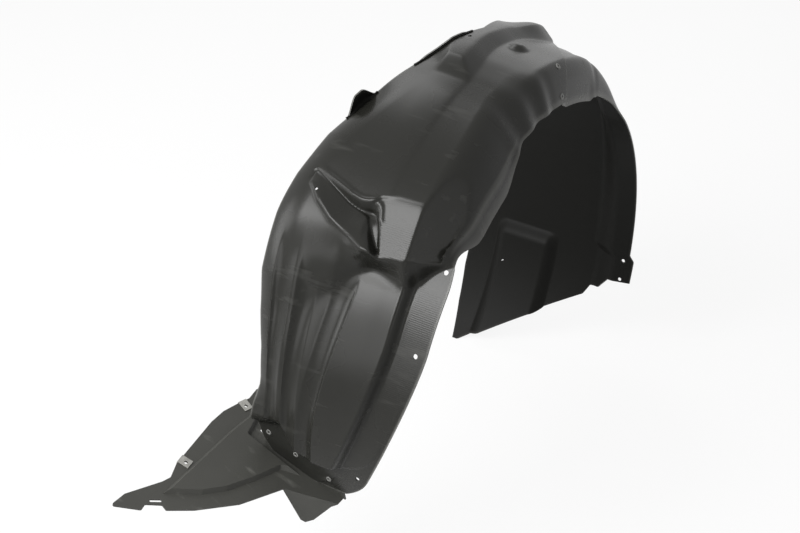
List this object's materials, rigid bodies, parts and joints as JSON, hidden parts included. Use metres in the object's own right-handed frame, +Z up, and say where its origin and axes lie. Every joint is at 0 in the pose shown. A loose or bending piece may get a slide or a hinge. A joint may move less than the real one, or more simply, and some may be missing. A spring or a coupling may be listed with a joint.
{
  "type": "wheel arch liner",
  "caption": "Formed plastic wheel arch liner with a fluted front leg, faceted haunch and scoop, nested rear shell and riveted lower shield.",
  "frame": {"origin": "on the wheel axis, in the plane of the fender edge", "axes": "+X towards the rear of the car, +Y inboard along the wheel axis, +Z up"},
  "size_m": [0.9235, 0.2802, 0.6901],
  "materials": {
    "arch_sheet": "satin",
    "shield_sheet": "matte",
    "rivet_plastic": "satin",
    "nut_steel": "satin"
  },
  "bodies": {
    "root": {"front_arch_shell": "arch_sheet", "rear_arch_shell": "arch_sheet", "lower_shield": "shield_sheet", "strip_rivets": "rivet_plastic", "seam_rivets": "rivet_plastic", "shield_nuts": "nut_steel"}
  },
  "joints": []
}
